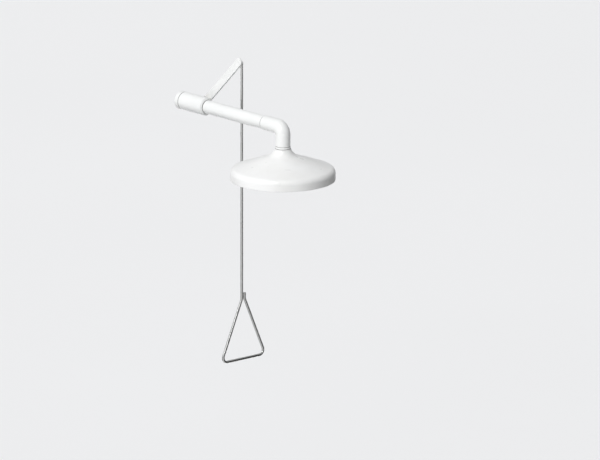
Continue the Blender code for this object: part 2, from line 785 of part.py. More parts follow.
def rounded_path(corners, bends):
    """A path of (x, z) points with each inner corner replaced by an arc of its bend radius."""
    path = [corners[0]]
    for before, corner, after, bend in zip(corners, corners[1:], corners[2:], bends):
        toward = (before - corner).normalized()
        away = (after - corner).normalized()
        half = toward.angle(away) / 2
        middle = (toward + away).normalized()
        centre = corner + middle * bend / math.sin(half)
        first = corner + toward * bend / math.tan(half) - centre
        last = corner + away * bend / math.tan(half) - centre
        turn = math.copysign(math.pi - 2 * half, first.cross(last))
        start = math.atan2(first.y, first.x)
        path += [Vector(spot) for spot in arc(centre, bend, start, start + turn, ROD_BEND_STEP)]
    path.append(corners[-1])
    return path


def pull_rod(finish, eye, eye_place):
    """One bent rod: hook, upright, triangle and stub, all in one plane through the eye."""
    stub_x = 2 * HANDLE_MID_X - ROD_X
    corners = [
        Vector((HOOK_TIP_X, eye_place.z)),
        Vector((ROD_X, eye_place.z)),
        Vector((ROD_X, HANDLE_TOP_Z)),
        Vector((HANDLE_MID_X - HANDLE_WIDTH / 2, HANDLE_BAR_Z)),
        Vector((HANDLE_MID_X + HANDLE_WIDTH / 2, HANDLE_BAR_Z)),
        Vector((stub_x, HANDLE_TOP_Z)),
        Vector((stub_x, HANDLE_TOP_Z + STUB_RISE)),
    ]
    bends = [HOOK_BEND, HANDLE_TOP_BEND, HANDLE_CORNER_BEND, HANDLE_CORNER_BEND, HANDLE_TOP_BEND]
    path = rounded_path(corners, bends)
    curve = bpy.data.curves.new("pull_rod", "CURVE")
    curve.dimensions = "3D"
    curve.bevel_depth = ROD_R
    curve.bevel_resolution = 4
    curve.use_fill_caps = True
    spline = curve.splines.new("POLY")
    spline.points.add(len(path) - 1)
    for point, spot in zip(spline.points, path):
        point.co = (spot.x, 0, spot.y - eye_place.z, 1)
    add("pull_rod", curve, finish).parent = eye


def main():
    clear_scene()
    enamel = material("white_enamel", (0.83, 0.84, 0.83), 0.38, 0.0)
    plastic = material("white_plastic", (0.85, 0.85, 0.84), 0.42, 0.0)
    steel = material("satin_steel", (0.66, 0.66, 0.65), 0.32, 1.0)
    brass = material("brass", (0.72, 0.55, 0.28), 0.30, 1.0)
    seal = material("white_seal", (0.90, 0.90, 0.88), 0.50, 0.0)
    rubber = material("black_rubber", (0.03, 0.03, 0.03), 0.70, 0.0)
    nylon = material("white_nylon", (0.86, 0.85, 0.81), 0.45, 0.0)

    inlet_adapter(enamel)
    body_o_ring(rubber)
    seats(seal)
    valve_body(enamel)
    stem_packing(seal)
    gland_nut(brass)
    stop_pin(steel)
    drench_pipe(enamel)
    elbow(enamel)
    neck_collar(enamel)
    head_nipple(brass)
    shower_head(plastic)
    head_gasket(rubber)
    head_lock_nut(plastic)
    flow_regulator(nylon)
    regulator_ring(rubber)
    deflector_plate(plastic)
    deflector_fixings(nylon, steel)

    rise = Matrix.Rotation(LEVER_RISE, 4, "X")
    lever = axis_empty("lever_axis", STEM_PLACE, rise)
    ball(steel, lever)
    stem(steel, lever)
    thrust_washer(seal, lever)
    stop_washer(steel, lever)
    lever_arm(enamel, lever)
    lock_washer(steel, lever)
    lever_nut(steel, lever)

    eye_place = STEM_PLACE + rise @ Vector((0, 0, LEVER_REACH))
    eye = axis_empty("rod_eye_axis", eye_place)
    rod_bush(nylon, eye)
    pull_rod(steel, eye, eye_place)


main()
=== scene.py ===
"""The emergency safety shower's looks: finer pieces, finishes, light and camera over the CAD frame.

Metres, +Z up. The origin is the centre of the valve's inlet face. The pipe runs toward -Y, and the
lever and the pull rod are on the +X side.
"""

import math

import bmesh
import bpy
from mathutils import Matrix, Vector


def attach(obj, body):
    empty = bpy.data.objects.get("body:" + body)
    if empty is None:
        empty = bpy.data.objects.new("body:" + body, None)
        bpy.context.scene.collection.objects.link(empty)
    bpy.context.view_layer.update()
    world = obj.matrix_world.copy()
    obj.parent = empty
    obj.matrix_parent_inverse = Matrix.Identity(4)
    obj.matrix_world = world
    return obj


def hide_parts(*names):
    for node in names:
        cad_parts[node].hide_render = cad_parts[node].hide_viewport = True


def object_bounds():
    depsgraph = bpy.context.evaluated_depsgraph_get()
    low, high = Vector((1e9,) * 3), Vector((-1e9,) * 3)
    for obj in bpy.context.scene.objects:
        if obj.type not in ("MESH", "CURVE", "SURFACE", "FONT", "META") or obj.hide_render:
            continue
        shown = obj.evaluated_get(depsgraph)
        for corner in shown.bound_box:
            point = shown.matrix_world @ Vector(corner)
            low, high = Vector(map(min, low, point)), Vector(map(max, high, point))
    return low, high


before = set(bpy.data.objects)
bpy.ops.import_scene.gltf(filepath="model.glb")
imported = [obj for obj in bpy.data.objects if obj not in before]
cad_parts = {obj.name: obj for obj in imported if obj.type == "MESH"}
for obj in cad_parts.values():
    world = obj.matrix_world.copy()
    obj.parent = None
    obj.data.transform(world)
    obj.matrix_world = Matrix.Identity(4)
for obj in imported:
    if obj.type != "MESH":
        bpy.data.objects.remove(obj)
CAD_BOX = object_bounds()

MM = 0.001
GAP = 0.3 * MM

# Camera: a parallel view along this direction
CAMERA_AZIMUTH = math.radians(-42.27)
CAMERA_ELEVATION = math.radians(14.31)
CAMERA_WIDTH = 1.458
CAMERA_SHIFT_RIGHT = 0.2893
CAMERA_SHIFT_DOWN = 0.3166
CAMERA_BACK = 3.0

# Light: directions and places are right, up and forward in the view
SUN_TOWARD = (0.5, -0.58, 0.82)
SUN_STRENGTH = 1.9
SUN_ANGLE = math.radians(26)
SOFT_BOX_PLACE = (-1.5, 0.9, -1.4)
SOFT_BOX_POWER = 1.3
SOFT_BOX_SIDE = 1.5
WARM_WHITE = (1, 0.99, 0.97)
RIGHT_CARD_SIZE, RIGHT_CARD_PLACE = (1.9, 1.7), (0.8, -0.35, 0.2)
LEFT_CARD_SIZE, LEFT_CARD_PLACE = (1.2, 1.1), (-0.95, -0.5, 0.55)
CARD_SHADE = (0.02, 0.02, 0.02)
ROOM_BRIGHT_SIDE = (-0.65, 0.75, 0)
ROOM_COLOUR = (0.97, 0.98, 1, 1)
ROOM_DIM, ROOM_BRIGHT = 0.34, 0.64
FLOOR_HALF = 60.0
FLOOR_Z = -1.9

# Places, and the turns that take a lathe's own Z to a piece's axis
STEM_PLACE = Vector((0, -46.2, 0)) * MM
HEAD_PLACE = Vector((0, -368.7, 0)) * MM
LEVER_RISE = math.radians(45)
LEVER_REACH = 167.4 * MM
ALONG_X = Matrix(((0, 0, 1, 0), (1, 0, 0, 0), (0, 1, 0, 0), (0, 0, 0, 1)))
FLOW = Matrix.Rotation(math.radians(90), 4, "X")
STEM = Matrix.Translation(STEM_PLACE) @ ALONG_X
LEVER_TURN = Matrix.Translation(STEM_PLACE) @ Matrix.Rotation(LEVER_RISE, 4, "X")
LEVER = LEVER_TURN @ ALONG_X
HEAD = Matrix.Translation(HEAD_PLACE)
EYE_PLACE = LEVER_TURN @ Vector((0, 0, LEVER_REACH))
EYE = Matrix.Translation(EYE_PLACE) @ ALONG_X

# Facets round a piece
BIG = 192
FINE = 128
MEDIUM = 96
SMALL = 48
ROD_FACETS = 32

# Rounded corners: steps in each, the most of a side it may take, and what needs no rounding
ROUND_STEPS = 4
CORNER_SHARE = 0.45
NEARLY_STRAIGHT = math.radians(172)

# Shading: creases stay sharp above an angle, and narrow faces that bend this much are rubbed
SHARP_ANGLE = math.radians(36)
ROUNDED_BEND = math.radians(25)
NARROW_FACE = 0.6 * MM

# Joining of points that lie together, and a small turn that keeps a tool's facets off another's
WELD = 1e-7
TINY = 1e-6
CARVE_MERGE = 0.003 * MM
OFF_FACETS = Matrix.Rotation(math.radians(0.9), 4, "Z")

# Screw threads: taper pipe thread and the stem's own
PIPE_PITCH = 2.21 * MM
PIPE_THREAD_DEPTH = 1.0 * MM
STEM_PITCH = 1.25 * MM
STEM_THREAD_DEPTH = 0.62 * MM
THREAD_ROWS = 8
THREAD_FLAT = 0.12


# ---- camera and light ----


def view_axes():
    """The view's right, up and forward directions."""
    sine, cosine = math.sin(CAMERA_AZIMUTH), math.cos(CAMERA_AZIMUTH)
    level, rise = math.cos(CAMERA_ELEVATION), math.sin(CAMERA_ELEVATION)
    right = Vector((cosine, sine, 0))
    forward = Vector((-sine * level, cosine * level, -rise))
    return right, right.cross(forward), forward


RIGHT, UP, FORWARD = view_axes()


def in_view(right, up, forward):
    """A direction or an offset given along the view's axes."""
    return RIGHT * right + UP * up + FORWARD * forward


def camera():
    data = bpy.data.cameras.new("camera")
    data.type = "ORTHO"
    data.ortho_scale = CAMERA_WIDTH
    data.clip_start = 0.01
    data.clip_end = 100
    obj = bpy.data.objects.new("camera", data)
    bpy.context.scene.collection.objects.link(obj)
    obj.location = in_view(CAMERA_SHIFT_RIGHT, -CAMERA_SHIFT_DOWN, -CAMERA_BACK)
    obj.rotation_euler = FORWARD.to_track_quat("-Z", "Y").to_euler()
    bpy.context.scene.camera = obj


def lamp(name, kind, energy, toward, at=(0, 0, 0)):
    data = bpy.data.lights.new(name, kind)
    data.energy = energy
    obj = bpy.data.objects.new(name, data)
    bpy.context.scene.collection.objects.link(obj)
    obj.rotation_euler = toward.to_track_quat("-Z", "Y").to_euler()
    obj.location = at
    return data


def soft_box(middle):
    """A square lamp that faces the object from the left, above and in front."""
    offset = in_view(*SOFT_BOX_PLACE)
    data = lamp("left_box", "AREA", SOFT_BOX_POWER, -offset, middle + offset)
    data.color = WARM_WHITE
    data.shape = "SQUARE"
    data.size = SOFT_BOX_SIDE


def studio_world():
    """A pale room, brighter on the left and above than on the right and below."""
    world = bpy.data.worlds.new("studio")
    world.use_nodes = True
    tree = world.node_tree
    background = tree.nodes["Background"]
    background.inputs["Color"].default_value = ROOM_COLOUR
    direction = tree.nodes.new("ShaderNodeTexCoord").outputs["Generated"]
    along = tree.nodes.new("ShaderNodeVectorMath")
    along.operation = "DOT_PRODUCT"
    along.inputs[1].default_value = in_view(*ROOM_BRIGHT_SIDE).normalized()
    tree.links.new(direction, along.inputs[0])
    strength = spread(tree, along.outputs["Value"], -0.9, 0.9, ROOM_DIM, ROOM_BRIGHT)
    tree.links.new(strength, background.inputs["Strength"])
    return world


def square_mesh(name, half_width, half_height, z=0.0):
    mesh = bpy.data.meshes.new(name)
    corners = [(-1, -1), (1, -1), (1, 1), (-1, 1)]
    places = [(x * half_width, y * half_height, z) for x, y in corners]
    mesh.from_pydata(places, [], [(0, 1, 2, 3)])
    return mesh


def dark_card(name, size, place, middle):
    """A dark studio card that takes light away from one side. The camera doesn't see it."""
    width, height = size
    offset = in_view(*place)
    mesh = square_mesh(name, width / 2, height / 2)
    cloth, tree, shader = shader_of(name, CARD_SHADE, 0.9)
    weave = spread(tree, grain(tree, 900, 2), 0.3, 0.7)
    shade = tint(tree, weave, (0.015, 0.015, 0.015), (0.03, 0.03, 0.03))
    tree.links.new(shade, shader.inputs["Base Color"])
    mesh.materials.append(cloth)
    obj = bpy.data.objects.new(name, mesh)
    bpy.context.scene.collection.objects.link(obj)
    obj.location = middle + offset
    obj.rotation_euler = offset.to_track_quat("Z", "Y").to_euler()
    obj.visible_camera = False
    obj.visible_shadow = False


def light():
    middle = (CAD_BOX[0] + CAD_BOX[1]) / 2
    key = lamp("key_sun", "SUN", SUN_STRENGTH, in_view(*SUN_TOWARD))
    key.angle = SUN_ANGLE
    soft_box(middle)
    dark_card("right_card", RIGHT_CARD_SIZE, RIGHT_CARD_PLACE, middle)
    dark_card("left_card", LEFT_CARD_SIZE, LEFT_CARD_PLACE, middle)
    bpy.context.scene.world = studio_world()
    bpy.context.scene.view_settings.view_transform = "Standard"


def floor(finish):
    """A plain pale floor, far below because the shower hangs from its supply pipe."""
    mesh = square_mesh("floor", FLOOR_HALF, FLOOR_HALF, FLOOR_Z)
    obj = bpy.data.objects.new("floor", mesh)
    bpy.context.scene.collection.objects.link(obj)
    mesh.materials.append(finish)


# ---- node shorthands ----


def shader_of(name, colour, roughness, metallic=0.0, coat=0.0):
    made = bpy.data.materials.new(name)
    made.use_nodes = True
    shader = made.node_tree.nodes["Principled BSDF"]
    shader.inputs["Base Color"].default_value = (*colour, 1)
    shader.inputs["Roughness"].default_value = roughness
    shader.inputs["Metallic"].default_value = metallic
    shader.inputs["Coat Weight"].default_value = coat
    shader.inputs["Coat Roughness"].default_value = 0.25
    return made, made.node_tree, shader


def grain(tree, scale, detail=2.0, stretch=(1, 1, 1), on_uv=False, distortion=0.0):
    """Noise in metres, on the object's coordinates or on the piece's own unrolled surface."""
    if on_uv:
        source = tree.nodes.new("ShaderNodeUVMap")
        source.uv_map = "metres"
        place = source.outputs["UV"]
    else:
        place = tree.nodes.new("ShaderNodeTexCoord").outputs["Object"]
    mapping = tree.nodes.new("ShaderNodeMapping")
    mapping.inputs["Scale"].default_value = stretch
    tree.links.new(place, mapping.inputs["Vector"])
    noise = tree.nodes.new("ShaderNodeTexNoise")
    noise.inputs["Scale"].default_value = scale
    noise.inputs["Detail"].default_value = detail
    noise.inputs["Distortion"].default_value = distortion
    tree.links.new(mapping.outputs["Vector"], noise.inputs["Vector"])
    return noise.outputs[0]


def spread(tree, value, low, high, to_low=0.0, to_high=1.0):
    node = tree.nodes.new("ShaderNodeMapRange")
    tree.links.new(value, node.inputs["Value"])
    node.inputs["From Min"].default_value = low
    node.inputs["From Max"].default_value = high
    node.inputs["To Min"].default_value = to_low
    node.inputs["To Max"].default_value = to_high
    return node.outputs["Result"]


def math_of(tree, operation, first, second):
    node = tree.nodes.new("ShaderNodeMath")
    node.operation = operation
    node.use_clamp = True
    for socket, value in zip(node.inputs, (first, second)):
        if isinstance(value, (int, float)):
            socket.default_value = value
        else:
            tree.links.new(value, socket)
    return node.outputs[0]


def tint(tree, factor, first, second):
    """A mix of two colours, each a triple or a socket."""
    node = tree.nodes.new("ShaderNodeMix")
    node.data_type = "RGBA"
    tree.links.new(factor, node.inputs[0])
    for socket, colour in ((node.inputs[6], first), (node.inputs[7], second)):
        if isinstance(colour, tuple):
            socket.default_value = (*colour, 1)
        else:
            tree.links.new(colour, socket)
    return node.outputs[2]


def relief(tree, shader, *layers):
    """Bump layers, each a height and its depth in metres."""
    normal = None
    for height, depth in layers:
        node = tree.nodes.new("ShaderNodeBump")
        node.inputs["Distance"].default_value = depth
        tree.links.new(height, node.inputs["Height"])
        if normal is not None:
            tree.links.new(normal, node.inputs["Normal"])
        normal = node.outputs["Normal"]
    tree.links.new(normal, shader.inputs["Normal"])


def mask_of(tree, name):
    """A mask that the mesh code wrote on the faces."""
    node = tree.nodes.new("ShaderNodeAttribute")
    node.attribute_name = name
    return node.outputs["Fac"]


def facing_up(tree):
    """1 on surfaces that face up, where dust lies."""
    normal = tree.nodes.new("ShaderNodeNewGeometry").outputs["Normal"]
    parts = tree.nodes.new("ShaderNodeSeparateXYZ")
    tree.links.new(normal, parts.inputs["Vector"])
    return spread(tree, parts.outputs["Z"], 0.35, 0.95)


# ---- finishes ----

# Turned metals: bright, ring and tarnish colours
STEEL = ((0.66, 0.66, 0.65), (0.52, 0.52, 0.51), (0.42, 0.41, 0.39))
BRASS = ((0.74, 0.56, 0.27), (0.62, 0.45, 0.20), (0.42, 0.29, 0.13))

# Moulded pieces: light and dark colours, roughness and grain depth
SEAL = ((0.90, 0.90, 0.88), (0.84, 0.84, 0.82), 0.46, 0.01 * MM)
NYLON = ((0.86, 0.85, 0.81), (0.80, 0.79, 0.74), 0.42, 0.01 * MM)
RUBBER = ((0.035, 0.035, 0.035), (0.022, 0.022, 0.022), 0.68, 0.02 * MM)


def enamel_finish():
    """White powder coat: orange peel, a little dust on top, rubbed edges, and painted shade in the
    joints.
    """
    made, tree, shader = shader_of("powder_coat", (0.83, 0.84, 0.83), 0.34, coat=0.15)
    cloud = grain(tree, 14, 3)
    cloud = spread(tree, cloud, 0.35, 0.65)
    colour = tint(tree, cloud, (0.815, 0.825, 0.815), (0.85, 0.855, 0.845))
    dust = math_of(tree, "MULTIPLY", facing_up(tree), spread(tree, grain(tree, 45, 3), 0.42, 0.72))
    colour = tint(tree, math_of(tree, "MULTIPLY", dust, 0.10), colour, (0.58, 0.56, 0.52))
    wear = spread(tree, grain(tree, 260, 3), 0.60, 0.68)
    rubbed = math_of(tree, "MULTIPLY", mask_of(tree, "edge"), wear)
    colour = tint(tree, math_of(tree, "MULTIPLY", rubbed, 0.6), colour, (0.36, 0.36, 0.36))
    # Painted shade: near-black shadow lines painted in patches on the faces where pieces meet
    patchy = spread(tree, grain(tree, 130, 3), 0.3, 0.6, 0.82, 1.0)
    painted_joint_shade = math_of(tree, "MULTIPLY", mask_of(tree, "seam"), patchy)
    colour = tint(tree, painted_joint_shade, colour, (0.075, 0.07, 0.065))
    tree.links.new(colour, shader.inputs["Base Color"])
    sheen = spread(tree, grain(tree, 35, 4, distortion=0.6), 0.3, 0.7, 0.29, 0.40)
    tree.links.new(sheen, shader.inputs["Roughness"])
    tree.links.new(math_of(tree, "MULTIPLY", rubbed, 0.5), shader.inputs["Metallic"])
    relief(tree, shader, (grain(tree, 420, 1), 0.022 * MM), (grain(tree, 2200, 0), 0.003 * MM))
    return made


def plastic_finish():
    """White moulded plastic: fine mould texture, slight waviness, faint scuffs and dust."""
    made, tree, shader = shader_of("moulded_plastic", (0.85, 0.85, 0.84), 0.34, coat=0.08)
    cloud = grain(tree, 9, 3, distortion=0.4)
    colour = tint(tree, spread(tree, cloud, 0.35, 0.65), (0.82, 0.82, 0.805), (0.86, 0.862, 0.855))
    dust = math_of(tree, "MULTIPLY", facing_up(tree), spread(tree, grain(tree, 30, 3), 0.42, 0.72))
    colour = tint(tree, math_of(tree, "MULTIPLY", dust, 0.10), colour, (0.60, 0.58, 0.54))
    scuff = spread(tree, grain(tree, 60, 4, (1, 9, 3), distortion=0.8), 0.66, 0.72)
    colour = tint(tree, math_of(tree, "MULTIPLY", scuff, 0.05), colour, (0.62, 0.62, 0.60))
    tree.links.new(colour, shader.inputs["Base Color"])
    sheen = spread(tree, grain(tree, 28, 4), 0.3, 0.7, 0.27, 0.40)
    scuff_sheen = math_of(tree, "MULTIPLY", scuff, 0.38)
    tree.links.new(math_of(tree, "MAXIMUM", sheen, scuff_sheen), shader.inputs["Roughness"])
    relief(tree, shader, (grain(tree, 18, 1), 0.25 * MM), (grain(tree, 1900, 1), 0.004 * MM))
    shader.inputs["IOR"].default_value = 1.48
    return made


def drawn_steel_finish():
    """Satin drawn rod: fine lines along its length, with handling marks."""
    made, tree, shader = shader_of("drawn_steel", (0.60, 0.60, 0.59), 0.30, metallic=1.0)
    lines = grain(tree, 1, 3, (9000, 45, 1), on_uv=True)
    colour = tint(tree, spread(tree, lines, 0.3, 0.7), (0.50, 0.50, 0.49), (0.66, 0.66, 0.65))
    marks = spread(tree, grain(tree, 55, 5, distortion=0.7), 0.50, 0.68)
    colour = tint(tree, math_of(tree, "MULTIPLY", marks, 0.18), colour, (0.44, 0.435, 0.42))
    tree.links.new(colour, shader.inputs["Base Color"])
    sheen = spread(tree, lines, 0.3, 0.7, 0.20, 0.32)
    sheen = math_of(tree, "ADD", sheen, math_of(tree, "MULTIPLY", marks, 0.06))
    tree.links.new(sheen, shader.inputs["Roughness"])
    relief(tree, shader, (lines, 0.0015 * MM), (grain(tree, 30, 1), 0.03 * MM))
    return made


def turned_metal_finish(name, colour, dark, tarnish):
    """Machined metal: tool rings round the axis, and a little tarnish."""
    made, tree, shader = shader_of(name, colour, 0.28, metallic=1.0)
    rings = grain(tree, 1, 2, (25, 14000, 1), on_uv=True)
    made_colour = tint(tree, spread(tree, rings, 0.35, 0.65), dark, colour)
    cloud = spread(tree, grain(tree, 180, 5, distortion=0.5), 0.48, 0.70)
    made_colour = tint(tree, math_of(tree, "MULTIPLY", cloud, 0.4), made_colour, tarnish)
    tree.links.new(made_colour, shader.inputs["Base Color"])
    sheen = spread(tree, rings, 0.3, 0.7, 0.17, 0.30)
    sheen = math_of(tree, "ADD", sheen, math_of(tree, "MULTIPLY", cloud, 0.15))
    tree.links.new(sheen, shader.inputs["Roughness"])
    relief(tree, shader, (rings, 0.008 * MM))
    return made


def moulded_finish(name, light_colour, dark_colour, roughness, depth):
    """A plain moulded piece of seal, nylon or rubber, with its own fine grain."""
    made, tree, shader = shader_of(name, light_colour, roughness)
    cloud = spread(tree, grain(tree, 140, 4), 0.35, 0.65)
    tree.links.new(tint(tree, cloud, dark_colour, light_colour), shader.inputs["Base Color"])
    sheen = spread(tree, grain(tree, 320, 3), 0.3, 0.7, roughness - 0.07, roughness + 0.07)
    tree.links.new(sheen, shader.inputs["Roughness"])
    relief(tree, shader, (grain(tree, 1400, 2), depth))
    return made


def floor_finish():
    made, tree, shader = shader_of("floor", (0.88, 0.88, 0.88), 0.9)
    cloud = spread(tree, grain(tree, 0.6, 3), 0.3, 0.7)
    shade = tint(tree, cloud, (0.873, 0.873, 0.873), (0.887, 0.887, 0.887))
    tree.links.new(shade, shader.inputs["Base Color"])
    return made


# ---- mesh shorthands ----


def ring(facets, radius, height):
    """One closed row of a lathe; radius and height are numbers, or functions of the angle."""
    row = []
    for i in range(facets):
        angle = math.tau * i / facets
        far = radius(angle) if callable(radius) else radius
        high = height(angle) if callable(height) else height
        row.append(Vector((far * math.cos(angle), far * math.sin(angle), high)))
    return row


def mean_gap(first, second):
    return sum((a - b).length for a, b in zip(first, second)) / len(first)


def girth(row):
    return sum((a - b).length for a, b in zip(row, row[1:] + row[:1]))


def skin(name, rows, place=Matrix.Identity(4), wrap=False):
    """A closed surface through closed rows of points, with UVs in metres round and along it.

    With wrap the last row joins the first, and without it both ends are capped.
    """
    count = len(rows[0])
    around = max(girth(row) for row in rows)
    along = [0.0]
    for first, second in zip(rows, rows[1:] + rows[:1]):
        along.append(along[-1] + mean_gap(first, second))
    bm = bmesh.new()
    layer = bm.loops.layers.uv.new("metres")
    made = [[bm.verts.new(place @ point) for point in row] for row in rows]
    bands = len(rows) if wrap else len(rows) - 1
    for j in range(bands):
        lower, upper = made[j], made[(j + 1) % len(rows)]
        for i in range(count):
            k = (i + 1) % count
            face = bm.faces.new((lower[i], lower[k], upper[k], upper[i]))
            spots = ((i, j), (i + 1, j), (i + 1, j + 1), (i, j + 1))
            for loop, (x, y) in zip(face.loops, spots):
                loop[layer].uv = (around * x / count, along[y])
    if not wrap:
        for row, flat in ((made[0], rows[0]), (made[-1], rows[-1])):
            if girth(flat) > TINY:
                cap = bm.faces.new(row)
                for loop in cap.loops:
                    loop[layer].uv = (loop.vert.co.x, loop.vert.co.y)
    bmesh.ops.remove_doubles(bm, verts=bm.verts, dist=WELD)
    bmesh.ops.recalc_face_normals(bm, faces=bm.faces)
    mesh = bpy.data.meshes.new(name)
    bm.to_mesh(mesh)
    bm.free()
    obj = bpy.data.objects.new(name, mesh)
    bpy.context.scene.collection.objects.link(obj)
    return obj


def in_mm(outline):
    """Points given in millimetres, with their corner radii, in metres."""
    return [tuple(value * MM for value in point) for point in outline]


def lathe(name, profile, place, facets=MEDIUM, wrap=True):
    """A turned piece. Each profile point's radius and height may be functions of the angle."""
    return skin(name, [ring(facets, radius, height) for radius, height in profile], place, wrap)


def rounded(points, radius, closed=True, steps=ROUND_STEPS):
    """The outline with its corners made into small arcs. A point may carry its own radius."""
    result = []
    for i, point in enumerate(points):
        own = point[2] if len(point) > 2 else radius
        here = Vector(point[:2])
        is_end = not closed and i in (0, len(points) - 1)
        before = Vector(points[i - 1][:2]) - here
        after = Vector(points[(i + 1) % len(points)][:2]) - here
        if is_end or own <= 0 or before.angle(after) > NEARLY_STRAIGHT:
            result.append((here.x, here.y))
            continue
        half = before.angle(after) / 2
        own = min(own, CORNER_SHARE * min(before.length, after.length) * math.tan(half))
        before.normalize()
        after.normalize()
        centre = here + (before + after).normalized() * own / math.sin(half)
        first = here + before * own / math.tan(half) - centre
        last = here + after * own / math.tan(half) - centre
        turn = math.copysign(math.pi - 2 * half, first.cross(last))
        start = math.atan2(first.y, first.x)
        for step in range(steps + 1):
            angle = start + turn * step / steps
            result.append((centre.x + own * math.cos(angle), centre.y + own * math.sin(angle)))
    return result


def arc(centre, radius, first, last, step):
    count = max(1, math.ceil(abs(last - first) / step))
    angles = [first + (last - first) * i / count for i in range(count + 1)]
    return [(centre[0] + radius * math.cos(a), centre[1] + radius * math.sin(a)) for a in angles]


def thread(crest, depth, pitch, start, end):
    """Lathe rows of a screw thread from start to end. A negative depth cuts an inside thread."""
    count = math.ceil(abs(end - start) / pitch * THREAD_ROWS)
    rows = []
    for j in range(count + 1):
        height = start + (end - start) * j / count
        fade = min(1, min(abs(height - start), abs(height - end)) / pitch)

        def radius(angle, height=height, fade=fade):
            phase = (height / pitch - angle / math.tau) % 1
            slope = (abs(phase - 0.5) * 2 - THREAD_FLAT) / (1 - 2 * THREAD_FLAT)
            return crest - depth * fade * min(1, max(0, slope))

        rows.append((radius, height))
    return rows


def carve(obj, tool, operation="DIFFERENCE"):
    """Cuts the tool from obj, or joins it on, and removes the tool."""
    modifier = obj.modifiers.new("carve", "BOOLEAN")
    modifier.operation = operation
    modifier.solver = "EXACT"
    modifier.object = tool
    graph = bpy.context.evaluated_depsgraph_get()
    mesh = bpy.data.meshes.new_from_object(obj.evaluated_get(graph))
    bm = bmesh.new()
    bm.from_mesh(mesh)
    bmesh.ops.remove_doubles(bm, verts=bm.verts, dist=CARVE_MERGE)
    bmesh.ops.dissolve_degenerate(bm, edges=bm.edges, dist=CARVE_MERGE)
    bm.to_mesh(mesh)
    bm.free()
    obj.modifiers.clear()
    obj.data = mesh
    bpy.data.objects.remove(tool)


def rod_tool(radius, start, end, place, facets=SMALL):
    """A plain round tool for carve."""
    return lathe("tool", [(radius, start), (radius, end)], place, facets, wrap=False)


def mark_faces(mesh, seams):
    """Writes two masks the enamel reads: rubbed edges, and the joints where pieces meet, which it
    darkens with painted shade.

    A rubbed edge is a narrow face of a rounded corner. A seam is a test of a face's middle.
    """
    bm = bmesh.new()
    bm.from_mesh(mesh)
    edge, seam = [], []
    for face in bm.faces:
        width = face.calc_area() / max(e.calc_length() for e in face.edges)
        bend = sum(e.calc_face_angle_signed(0.0) for e in face.edges)
        edge.append(float(width < NARROW_FACE and bend > ROUNDED_BEND))
        middle = face.calc_center_median()
        seam.append(float(any(test(middle) for test in seams)))
    bm.free()
    for name, values in (("edge", edge), ("seam", seam)):
        mesh.attributes.new(name, "FLOAT", "FACE").data.foreach_set("value", values)


def between(axis, low, high):
    """A seam test: whether a place lies between two coordinates on an axis."""
    return lambda place: low < place[axis] < high


def dress(obj, finish, slot, body, *nodes, seams=()):
    """Shades the piece, gives it its finish, and puts it in place of its CAD nodes."""
    mesh = obj.data
    mesh.shade_smooth()
    mesh.set_sharp_from_angle(angle=SHARP_ANGLE)
    mark_faces(mesh, seams)
    mesh.materials.clear()
    mesh.materials.append(finish)
    weighted = obj.modifiers.new("weighted_normals", "WEIGHTED_NORMAL")
    weighted.keep_sharp = True
    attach(obj, body)
    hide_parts(*nodes)


# ---- valve ----

BODY_R = 22.0 * MM
PIPE_R = 16.7 * MM
PIPE_BORE_R = 13.3 * MM
PORT_R = 10.5 * MM
BOSS_R = 12.8 * MM
BOSS_END = 28.5 * MM
BOSS_FILLET = 2.2 * MM
STEM_R = 4.5 * MM
PIN_OFFSET = 10.1 * MM
PIN_ROOM = 1.8 * MM
FILLET_STEPS = 7
FILLET_SUNK = 1.01
INLET_SEAM = between(1, -13.4 * MM, -11.9 * MM)


def inlet_adapter(finish):
    """The inlet end, with its female pipe thread."""
    outline = [
        (17.3, 0.0, 0), (21.4, 0.0), (22.0, 0.7), (22.0, 12.5, 0.6), (18.6, 12.5, 0), (18.6, 23.6),
        (16.3, 23.6, 0), (16.3, 26.4, 0), (18.6, 26.4), (18.6, 31.9), (10.5, 31.9), (10.5, 15.9),
        (15.7, 15.9, 0),
    ]
    profile = rounded(in_mm(outline), 0.4 * MM, closed=False)
    profile += thread(15.8 * MM, -PIPE_THREAD_DEPTH, PIPE_PITCH, 15.4 * MM, 1.0 * MM)
    piece = lathe("inlet_end", profile, FLOW, FINE)
    dress(piece, finish, "white_enamel", "shower", "inlet_adapter", seams=[INLET_SEAM])


def boss_rows():
    """The stem boss with a fillet that rolls round its foot on the body's cylinder."""
    rolled_body = BODY_R + BOSS_FILLET
    rolled_boss = BOSS_R + BOSS_FILLET
    rows = [[] for _ in range(FILLET_STEPS + 2)]
    for i in range(FINE):
        angle = math.tau * i / FINE
        away = Vector((math.cos(angle), math.sin(angle)))
        side = rolled_boss * away.y
        height = math.sqrt(rolled_body**2 - side**2)
        centre = Vector((rolled_boss * away.x, side, height))
        to_body = Vector((0, -side, -height)).normalized()
        to_boss = Vector((-away.x, -away.y, 0))
        rows[0].append(Vector((BOSS_R * away.x, BOSS_R * away.y, 15 * MM)))
        for step in range(FILLET_STEPS + 1):
            sunk = FILLET_SUNK if step == 0 else 1.0
            roll = to_body.slerp(to_boss, step / FILLET_STEPS)
            rows[step + 1].append(centre + roll * BOSS_FILLET * sunk)
    top = rounded([(BOSS_R, 20 * MM), (BOSS_R, BOSS_END), (0.0, BOSS_END)], 0.7 * MM, closed=False)
    rows += [ring(FINE, radius, height) for radius, height in top[1:]]
    return rows


